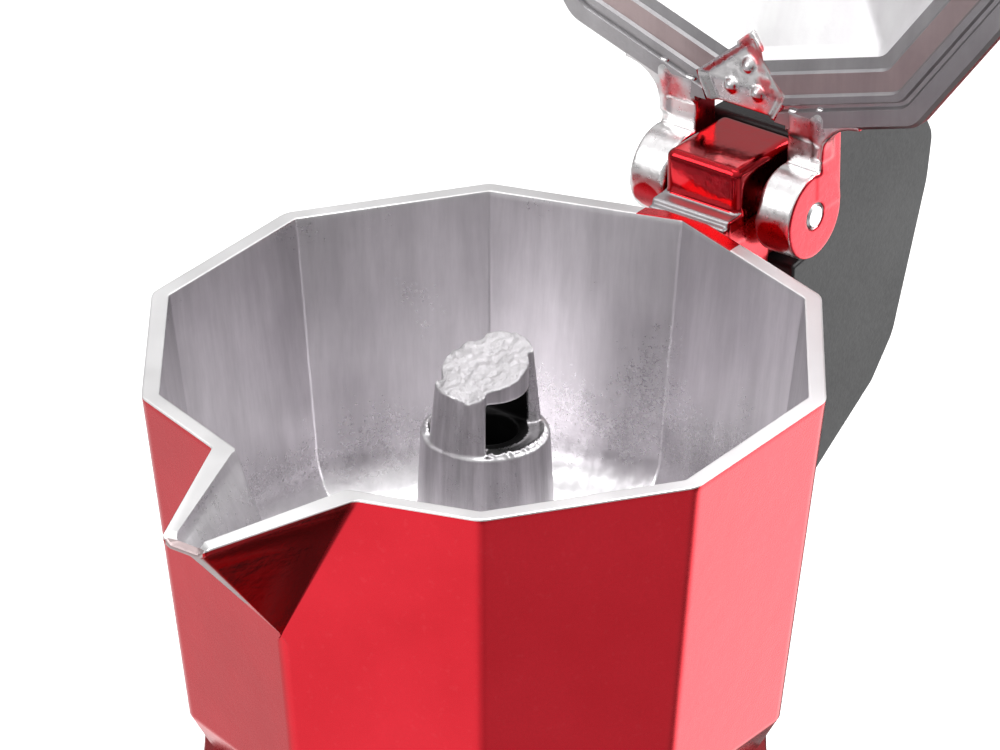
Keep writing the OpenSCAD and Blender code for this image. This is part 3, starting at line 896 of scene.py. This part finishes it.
def lid_shell():
    """The lid's ten-sided flange and roof, with a groove and steps under the flange."""
    z = LID_Z
    profile = [
        (7, z + 8.4, 2), (8, z + 10.6, 2.5), (33.0, z + 2.3, 3), (34.4, z + 1.2, 3), (35.9, z + 0.95, 3),
        (36.2, z + 0.55, 3), (38.9, z + 0.45, 3.2), (39.2, z + 0.05, 3.2), (40.1, z + 0.02, 3.3),
        (40.4, z + 0.45, 3.3), (40.9, z + 0.5, 3.4), (41.2, z + 0.05, 3.4), (43.4, z + 0.02, 3.6),
        (43.9, z + 0.45, 3.8), (43.95, z + 1.9, 3.8), (43.5, z + 2.35, 3.6), (39.6, z + 2.45, 3.2),
        (38.7, z + 2.7, 3.1), (11.8, z + 12.7, 2.2), (10.8, z + 12.9, 2), (7, z + 12.9, 2)]
    rings = [ten_ring(r, h, c, 6) for r, h, c in profile]
    rings += [ring_like(rings[0], SCREW_HOLE_R, level) for level in (LID_TOP, z + 8.4)] + [rings[0]]
    points, faces = loft(rings)
    count = len(rings[0])
    under = set(range(13)) | {len(rings) - 2}
    index = []
    for i in range(len(rings) - 1):
        kind = 2 if i == 5 else 3 if 3 <= i < 13 else 1 if i in under else 0
        index += [kind] * count
    piece = add_object("lid_shell", [opened(p) for p in points], faces, "lid", ["lid"], index)
    paint(piece, RED, PALE, BAND, FLANGE)
    # the notch that clears the hinge block
    n = ARM_IN
    back, front = PIN[0] - NOTCH, PIN[0] + 4
    box_points = [opened((x, y, h)) for h in (z - 2, z + 9)
                  for x, y in ((back, -n), (front, -n), (front, n), (back, n))]
    boolean(piece, add_cutter("notch_cutter", box_points))
    # room for the sunk mark pad
    house = ((HOUSE_LOW - 1, HOUSE_LOW_W), (HOUSE_EAVES, HOUSE_W), (HOUSE_TOP, 0))
    plan = list(house) + [(u, -w) for u, w in house[-2::-1]]
    below = [opened((PIN[0] - u, w, z - 2)) for u, w in plan]
    above = [opened((PIN[0] - u, w, float(pad_level(u)) + PAD_SINK + 0.5)) for u, w in plan]
    boolean(piece, add_cutter("pad_cutter", below + above))
    shade(piece, 25)
    return piece


def add_cutter(name, corners):
    half = len(corners) // 2
    points, faces = loft([corners[:half], corners[half:]], True, True)
    return mesh_object(name, points, faces)


def boolean(piece, cutter):
    """Cuts a piece, applies the cut and removes the cutter."""
    mod = piece.modifiers.new("cut", "BOOLEAN")
    mod.operation = "DIFFERENCE"
    mod.solver = "EXACT"
    mod.object = cutter
    bpy.context.view_layer.update()
    graph = bpy.context.evaluated_depsgraph_get()
    result = bpy.data.meshes.new_from_object(piece.evaluated_get(graph))
    piece.modifiers.clear()
    old = piece.data
    piece.data = result
    bpy.data.meshes.remove(old)
    used = cutter.data
    bpy.data.objects.remove(cutter)
    bpy.data.meshes.remove(used)


HOUSE_LOW, HOUSE_EAVES, HOUSE_TOP = 10.9, 14.1, 19.9
HOUSE_LOW_W, HOUSE_W = 4.9, 6.6
FILLET_R = 5.5


def house_field(u, y, low=HOUSE_LOW):
    """Outline of the mark pad: two walls that lean outwards and a pointed roof."""
    wall = np.abs(y) - (HOUSE_LOW_W + (u - HOUSE_LOW) * (HOUSE_W - HOUSE_LOW_W) / (HOUSE_EAVES - HOUSE_LOW))
    slope = (HOUSE_TOP - HOUSE_EAVES) / HOUSE_W
    roof = (u - HOUSE_EAVES - (HOUSE_W - np.abs(y)) * slope) / hypot(1, slope)
    return np.maximum(np.maximum(wall, roof), low - u)


PAD_SINK = 0.8
PIPS = ((13.0, -2.0), (13.0, 2.0), (16.0, 0.0))


def pad_level(u):
    """Height of the pad's rim above the shut lid's underside: it follows the roof's slope."""
    return LID_Z + 0.1 + 0.37 * np.maximum(0, u - 13.5)


def lid_arms():
    """Two arms with their knuckles, filleted into the flange, and the mark pad between them."""
    z = LID_Z
    apothem = LID_R * cos(SIDE_TURN)
    fillet_y = ARM_OUT + FILLET_R
    fillet_x = (apothem + FILLET_R - sin(SIDE_TURN) * fillet_y) / cos(SIDE_TURN)

    def field(p):
        # p is in the open pose; back to the closed one
        x = PIN[0] - (p[2] - PIN[2])
        zz = PIN[2] + (p[0] - PIN[0])
        y = p[1]
        u = PIN[0] - x
        side_y = np.abs(y)
        side = [x, side_y, zz]
        knuckle = rod_field(side, 1, (PIN[0], 0.5 * (ARM_IN + ARM_OUT), PIN[2]), KNUCKLE_R,
                            0.5 * (ARM_OUT - ARM_IN), 0.35)
        arm = box_field(side, (38.2, ARM_IN, PIN[2] + 0.1), (PIN[0], ARM_OUT, PIN[2] + KNUCKLE_R), 0.5)
        # a shallow step between the knuckle's faced front and the arm
        step = box_field(side, (PIN[0] - 9.2, ARM_IN - 1, z - 3), (PIN[0] - 5.2, ARM_OUT + 1, z + 0.35), 0.3)
        arm = cut(arm, step, 0.3)
        arm = join(knuckle, arm, 0.3)
        # nothing of the arm reaches the rim when the lid is shut
        arm = cut(arm, box_field(side, (10, -5, z - 5), (RIM_R + 1.2, 30, z), 0.0), 0.8)
        arm = common(arm, half_space(side, (38, 0, z + 5.4), (-0.35, 0, 1)), 1.0)
        # fillet in plan between the arm's outer face and the flange
        web = np.maximum(np.maximum(x - fillet_x, side_y - fillet_y), ARM_OUT - 1 - side_y)
        web = np.maximum(web, 37 - x)
        web = np.maximum(web, FILLET_R - np.sqrt((x - fillet_x) ** 2 + (side_y - fillet_y) ** 2))
        web = common(web, np.maximum(z + 0.1 - zz, zz - (z + FLANGE_T)), 0.5)
        house = house_field(u, y)
        low = pad_level(u)
        plate = common(house - 0.4, np.maximum(low - zz, zz - (low + 2.4)), 0.25)
        solid = join(join(arm, plate, 0.25), web, 0.8)
        sunk = np.maximum(house_field(u, y, HOUSE_LOW - 3) + 0.1 + (zz - low) * 1.2, zz - (low + PAD_SINK))
        solid = cut(solid, sunk, 0.12)
        for a, b in PIPS:
            pip = np.sqrt((u - a) ** 2 + (y - b) ** 2 + (zz - (low + PAD_SINK + 0.35)) ** 2) - 1.0
            solid = join(solid, pip, 0.15)
        pin_hole = rod_field(side, 1, (PIN[0], 9, PIN[2]), PIN_R + 0.08, 9)
        return cut(solid, pin_hole, 0.1)

    low = (PIN[0] - KNUCKLE_R - 0.2, -fillet_y - 0.2, PIN[2] - KNUCKLE_R - 0.2)
    high = (PIN[0] + KNUCKLE_R + 1.0, fillet_y + 0.2, PIN[2] + 24)
    points, faces = skin(field, low, high, 0.22)
    piece = add_object("lid_arms", points, faces, "lid", ["lid"])
    paint(piece, worn_arm())
    piece.data.shade_smooth()
    return piece


def worn_arm():
    """Dye left on the arms' sides and in spots; faced or rubbed bare metal on their fronts."""
    material, n, shader = principled("worn_arm")
    coord = n.add("ShaderNodeTexCoord")
    at = coord.outputs["Object"]
    split = n.add("ShaderNodeSeparateXYZ")
    n.link(coord.outputs["Normal"], split.inputs[0])
    where = n.add("ShaderNodeSeparateXYZ")
    n.link(at, where.inputs[0])
    fine = n.noise(at, 900, 4)
    cloud = n.noise(at, 160, 4)
    side = n.math("ABSOLUTE", split.outputs["Y"], 0)
    edge = n.spread(fine, 0.3, 0.7, -0.10, 0.10)
    dyed = n.spread(n.math("ADD", side, edge), 0.60, 0.72, 0, 1)
    back = n.spread(n.math("ADD", split.outputs["X"], edge), 0.15, 0.3, 0, 1)
    dyed = n.math("MAXIMUM", dyed, back)
    # a round spot of dye low on each knuckle, where the facing cut did not reach
    off_y = n.math("SUBTRACT", n.math("ABSOLUTE", where.outputs["Y"], 0), 0.5 * (ARM_IN + ARM_OUT) * MM)
    off_z = n.math("SUBTRACT", where.outputs["Z"], (PIN[2] - 1.7) * MM)
    far = n.math("SQRT", n.math("ADD", n.math("MULTIPLY", off_y, off_y), n.math("MULTIPLY", off_z, off_z)), 0)
    spot = n.spread(n.math("ADD", far, n.spread(cloud, 0.3, 0.7, -0.0004, 0.0004)), 0.0021, 0.0024, 1, 0)
    dyed = n.math("MAXIMUM", dyed, spot)
    # dye left in patches: above the faced step of each arm, and here and there on the pad
    high = n.spread(where.outputs["Z"], (PIN[2] + 9.0) * MM, (PIN[2] + 9.6) * MM, 0, 1)
    up_z = n.math("SUBTRACT", where.outputs["Z"], (PIN[2] + 10.6) * MM)
    out_y = n.math("SUBTRACT", off_y, 0.6 * MM)
    far = n.math("SQRT", n.math("ADD", n.math("MULTIPLY", out_y, out_y), n.math("MULTIPLY", up_z, up_z)), 0)
    smear = n.spread(n.math("ADD", far, n.spread(fine, 0.3, 0.7, -0.0007, 0.0007)), 0.0008, 0.0026, 0.75, 0)
    inside = n.spread(n.math("ABSOLUTE", where.outputs["Y"], 0), 0.0064, 0.0067, 1, 0)
    patch = n.math("MULTIPLY", n.spread(n.noise(at, 170, 3, 0.5), 0.55, 0.60, 0, 0.8), inside)
    eaves = n.math("MULTIPLY", n.spread(split.outputs["Z"], -0.30, -0.15, 1, 0), inside)
    patch = n.math("MAXIMUM", patch, eaves)
    dyed = n.math("MAXIMUM", dyed, n.math("MULTIPLY", n.math("MAXIMUM", smear, patch), high))
    metal = n.mix(cloud, (0.62, 0.60, 0.61), (0.86, 0.85, 0.85))
    metal = n.mix(n.math("MULTIPLY", high, 0.6), metal, (0.50, 0.48, 0.49))
    dye = n.mix(cloud, (0.50, 0.006, 0.020), (0.62, 0.014, 0.030))
    surface(n, shader, n.mix(dyed, metal, dye), n.spread(fine, 0.3, 0.7, 0.24, 0.36),
            n.bump(n.math("ADD", fine, cloud), 0.3, 0.00015), coat=(0.3, 0.2))
    return material


# ---------------------------------------------------------------- knob and its fastening


def lid_lathe(name, profile, node, material):
    """A turned part drawn on the closed lid."""
    points, faces = solid_lathe(profile)
    piece = add_object(name, [opened(p) for p in points], faces, "lid", [node])
    paint(piece, material)
    shade(piece)
    return piece


def knob():
    z = LID_TOP
    profile = [(8.6, z, 1), (9.0, z + 0.4, 1), (6.6, z + 3.9, 1.5), (6.55, z + 4.4, 1.5), (9.3, z + 12.6, 2),
               (9.4, z + 13.4, 2), (7.2, z + 18.7, 2), (6.6, z + 19.0, 2), (0.5, z + 19.0, 0.1)]
    rings = [ten_ring(r, h, c, 5) for r, h, c in profile]
    points, faces = loft(rings, True, True)
    piece = add_object("knob_grip", [opened(p) for p in points], faces, "lid", ["knob"])
    paint(piece, BLACK)
    shade(piece, 28)


def knob_fastening():
    top = LID_TOP - BOSS_DROP
    low = top - 0.8
    head = low - 1.7
    screw = [(0.01, head + 0.1), (2.2, head), (3.4, head + 0.5), (3.6, head + 1.1), (3.6, low), (1.9, low),
             (1.9, LID_TOP + 2), (0.01, LID_TOP + 2)]
    lid_lathe("knob_screw_head", screw, "knob_screw", STEEL)
    washer = [(2.0, low), (4.4, low), (4.6, low + 0.2), (4.6, top - 0.05), (2.0, top - 0.05)]
    lid_lathe("knob_screw_washer", washer, "knob_washer", STEEL)


# ---------------------------------------------------------------- boiler


def boiler():
    z1 = BOILER_HIGH[2]
    rings, kinds = [], []
    ref = ten_ring(40, 0, 30, CORNER_STEPS)

    def disc(r, z):
        return ring_like(ref, r, z)

    def add(ring, kind):
        rings.append(ring)
        kinds.append(kind)

    # inside, from the floor up to the neck's rim, then down the outside and under the base
    for r, z in ((0.2, 4), (36, 4), (37.8, 4.6), (39.3, 6.6), (39.3, 8), (35, 47), (33.4, 50), (28.3, 54),
                 (28.3, z1 - 0.3), (28.6, z1)):
        add(disc(r, z), "cast")
    for r, z in ((30.6, z1), (31.0, z1 - 0.4), (31.0, 57.2), (31.6, 56.4), (32.4, 56)):
        add(disc(r, z), "faced")
    add([(x * 0.97, y * 0.97, z) for x, y, z in ten_ring(38.5, 52.5, 9, CORNER_STEPS)], "red")
    for r, z, c in ((38.25, 52.0, 3.4), (38.5, 51.3, 3.2), (38.7, 50.6, 3), (42, 27, 3), (45.35, 3.1, 3),
                    (45.4, 2.3, 3), (45.2, 1.7, 3), (44.2, 0.35, 3), (43.6, 0.0, 3)):
        add(ten_ring(r, z, c, CORNER_STEPS), "red")
    add(disc(36, 0), "cast")
    add(disc(34, 0.5), "cast")
    add(disc(0.2, 0.5), "cast")
    points, faces = loft(rings)
    count = len(ref)
    names = {"red": 0, "faced": 1, "cast": 2}
    index = [names[kinds[i + 1]] for i in range(len(rings) - 1) for _ in range(count)]
    piece = add_object("boiler_shell", points, faces, "boiler", ["boiler"], index)
    paint(piece, RED, FACED, CAST)
    shade(piece, 24)
    thread = helix("boiler_thread", 30.6, 32.1, 60.3, 1.5, "boiler", "boiler")
    paint(thread, FACED)


def helix(name, root, crest, z, turns, body, node, pitch=4.0, steps=48):
    """A thread ridge that runs out to nothing at both ends."""
    total = int(steps * turns)
    rings = []
    for i in range(total + 1):
        t = i / steps
        grow = min(1.0, 6 * i / total, 6 * (total - i) / total)
        tip = root + (crest - root) * max(0.02, grow)
        a = 2 * pi * t
        h = z + pitch * t
        rings.append([(r * cos(a), r * sin(a), h + dz) for r, dz in
                      ((root, -1.05), (0.5 * (root + tip), -0.72), (tip, -0.32), (tip, 0.32),
                       (0.5 * (root + tip), 0.72), (root, 1.05))])
    points, faces = loft(rings, True, True)
    piece = add_object(name, points, faces, body, [node])
    shade(piece, 40)
    return piece


def valve():
    low, high = mm_box("valve_body")
    z = 0.5 * (low[2] + high[2])
    boss = -mm_box("valve_washer")[1][1]    # the washer lies on the boss's face

    def seat(name, shape, node, material, body="boiler"):
        """Places a shape drawn about +Z on the valve's axis, outwards from the boss."""
        points, faces = shape
        piece = add_object(name, turned(points, (0, -boss, z), (0, -1, 0)), faces, body, [node])
        paint(piece, material)
        shade(piece)

    raised = [(0.01, -2.5), (6.8, -2.5), (6.8, -0.4), (6.4, -0.02), (0.01, -0.02)]
    seat("valve_boss", solid_lathe(raised), "boiler", RED)
    washer = [(0.01, 0), (5.3, 0), (5.6, 0.2), (5.6, 0.6), (5.3, 0.8), (0.01, 0.8)]
    seat("washer_ring", solid_lathe(washer), "valve_washer", STEEL)
    rings = []
    for r, h, c in ((6.0, 0.85, 0.3), (6.0, 3.7, 0.3), (5.4, 4.25, 2.0)):
        corners = [(r * cos(pi / 3 * k), r * sin(pi / 3 * k)) for k in range(6)]
        rings.append([(x, y, h) for x, y in rounded(corners, [c] * 6, 4)])
    for r, h in ((4.5, 4.3), (4.5, 5.3), (4.2, 5.5), (3.0, 5.5), (2.9, 5.3), (2.9, 4.6)):
        rings.append(ring_like(rings[0], r, h))
    seat("valve_hex", loft(rings, True, True), "valve_body", BRASS)
    cap = [(1.3, 4.62), (2.85, 4.62), (2.85, 5.15), (2.5, 5.25), (1.6, 5.25), (1.3, 5.1)]
    seat("valve_crimp", lathe(cap, 48), "valve_cap", STEEL)
    stem = [(0.01, 2.0), (1.2, 2.0), (1.2, 6.7), (0.9, 7.0), (0.01, 7.0)]
    seat("valve_pin", solid_lathe(stem, 32), "valve_stem", BRASS, "valve_stem")


# ---------------------------------------------------------------- funnel, gasket and carried-over CAD nodes


def funnel():
    z1 = BOILER_HIGH[2]
    profile = [(4.7, 10), (4.7, 38), (5.2, 39.6), (8, 42), (24, 45.6), (26.6, 46.9), (27.2, 48.5), (27.2, z1),
               (30.4, z1), (30.6, z1 + 0.2), (30.6, z1 + 0.6), (30.4, z1 + 0.8), (26.8, z1 + 0.8),
               (26.4, z1 + 0.4), (26.4, 48.6), (26, 47.6), (7.5, 42.8), (4.5, 40), (4, 38.3), (4, 10)]
    points, faces = lathe(profile)
    piece = add_object("funnel_shell", points, faces, "boiler", ["funnel"])
    paint(piece, CAST)
    shade(piece)


def gasket():
    low, high = mm_box("gasket")
    r, hole = high[0], 26.3
    z0, z1 = low[2], high[2]
    e = 0.4                                 # chamfer
    points, faces = lathe([(hole + e, z0), (r - e, z0), (r, z0 + e), (r, z1 - e), (r - e, z1), (hole + e, z1),
                           (hole, z1 - e), (hole, z0 + e)])
    piece = add_object("gasket_ring", points, faces, "seal", ["gasket"])
    paint(piece, RUBBER)
    shade(piece)


def carried_over():
    looks = {"filter_plate": CAST, "funnel_strainer": CAST, "handle_pin": STEEL, "valve_spring": STEEL}
    for node, material in looks.items():
        piece = frame["nodes"][node]
        piece.data.materials.clear()
        piece.data.materials.append(material)


# ---------------------------------------------------------------- studio

CAM_AZ, CAM_EL, CAM_ROLL = radians(-53.3), radians(28.445), radians(-0.075)
CAM_DISTANCE = 1020.17
CAM_AIM = (1.76, -3.50)                   # offset in the picture plane at the rim's centre
CAM_LENS = 310.0


def camera():
    data = bpy.data.cameras.new("photo_view")
    data.lens = CAM_LENS
    data.sensor_width = 36
    data.clip_end = 20
    piece = bpy.data.objects.new("photo_view", data)
    bpy.context.collection.objects.link(piece)
    back = Vector((sin(CAM_AZ) * cos(CAM_EL), -cos(CAM_AZ) * cos(CAM_EL), sin(CAM_EL)))
    right = Vector((cos(CAM_AZ), sin(CAM_AZ), 0))
    up = back.cross(right)
    r = right * cos(CAM_ROLL) + up * sin(CAM_ROLL)
    u = up * cos(CAM_ROLL) - right * sin(CAM_ROLL)
    place = r * CAM_AIM[0] + u * CAM_AIM[1] + back * CAM_DISTANCE + Vector((0, 0, RIM_Z))
    turn = Matrix((r, u, back)).transposed().to_4x4()
    piece.matrix_world = Matrix.Translation(place * MM) @ turn
    bpy.context.scene.camera = piece


def area_light(name, azimuth, elevation, distance, size, power, colour=(1, 1, 1)):
    data = bpy.data.lights.new(name, "AREA")
    data.shape = "RECTANGLE"
    data.size, data.size_y = size
    data.energy = power
    data.color = colour
    piece = bpy.data.objects.new(name, data)
    bpy.context.collection.objects.link(piece)
    a, e = radians(azimuth), radians(elevation)
    aim = Vector((0, 0, RIM_Z * MM))
    out = Vector((cos(a) * cos(e), sin(a) * cos(e), sin(e)))
    piece.location = aim + out * distance
    piece.rotation_euler = out.to_track_quat("Z", "Y").to_euler()
    return piece


# soft panels round the pot: azimuth from +X, elevation, inner and outer half angles, brightness
STUDIO_BASE = 0.05
STUDIO_PANELS = [
    (330, -32, 12, 31, 2.7), (254, -38, 8, 34, 0.72), (176, -34, 16, 44, 1.3), (100, -30, 14, 40, 0.85),
    (140, -25, 10, 30, 0.42), (53, -50, 8, 28, 1.0), (0, 90, 30, 100, 1.05)]
STUDIO_LIGHTS = [
    ("key", -40, 40, 0.9, (0.5, 0.6), 5), ("left", 150, 35, 0.9, (0.5, 0.5), 3),
    ("top", 30, 78, 0.9, (0.7, 0.7), 5)]


def studio():
    scene = bpy.context.scene
    scene.view_settings.view_transform = "Standard"
    points = [(x, y, 0.0) for x, y in ((-3000, -3000), (3000, -3000), (3000, 3000), (-3000, 3000))]
    mesh = bpy.data.meshes.new("floor")
    mesh.from_pydata([tuple(MM * v for v in p) for p in points], [], [(0, 1, 2, 3)])
    floor = bpy.data.objects.new("floor", mesh)
    bpy.context.collection.objects.link(floor)
    floor.visible_glossy = False
    material, n, shader = principled("pale_floor")
    cloud = n.noise(n.coords(), 8, 3)
    n.link(n.mix(cloud, (0.93, 0.93, 0.93), (0.96, 0.96, 0.96)), shader.inputs["Base Color"])
    shader.inputs["Roughness"].default_value = 0.9
    mesh.materials.append(material)
    world = bpy.data.worlds.new("studio_world")
    scene.world = world
    world.use_nodes = True
    n = Nodes(world.node_tree)
    direction = n.add("ShaderNodeTexCoord").outputs["Generated"]
    light = None
    for azimuth, elevation, inner, outer, level in STUDIO_PANELS:
        a, e = radians(azimuth), radians(elevation)
        facing = n.add("ShaderNodeVectorMath", operation="DOT_PRODUCT")
        n.link(direction, facing.inputs[0])
        facing.inputs[1].default_value = (cos(a) * cos(e), sin(a) * cos(e), sin(e))
        glow = n.spread(facing.outputs["Value"], cos(radians(outer)), cos(radians(inner)), 0, level)
        light = n.math("ADD", light if light else STUDIO_BASE, glow)
    background = world.node_tree.nodes["Background"]
    background.inputs["Color"].default_value = (1, 1, 1, 1)
    n.link(light, background.inputs["Strength"])
    for values in STUDIO_LIGHTS:
        area_light(*values)


# ---------------------------------------------------------------- make everything

camera()
studio()
chamber()
column()
hinge_block()
hinge_pin()
handle()
lid_shell()
lid_arms()
knob()
knob_fastening()
boiler()
valve()
funnel()
gasket()
carried_over()
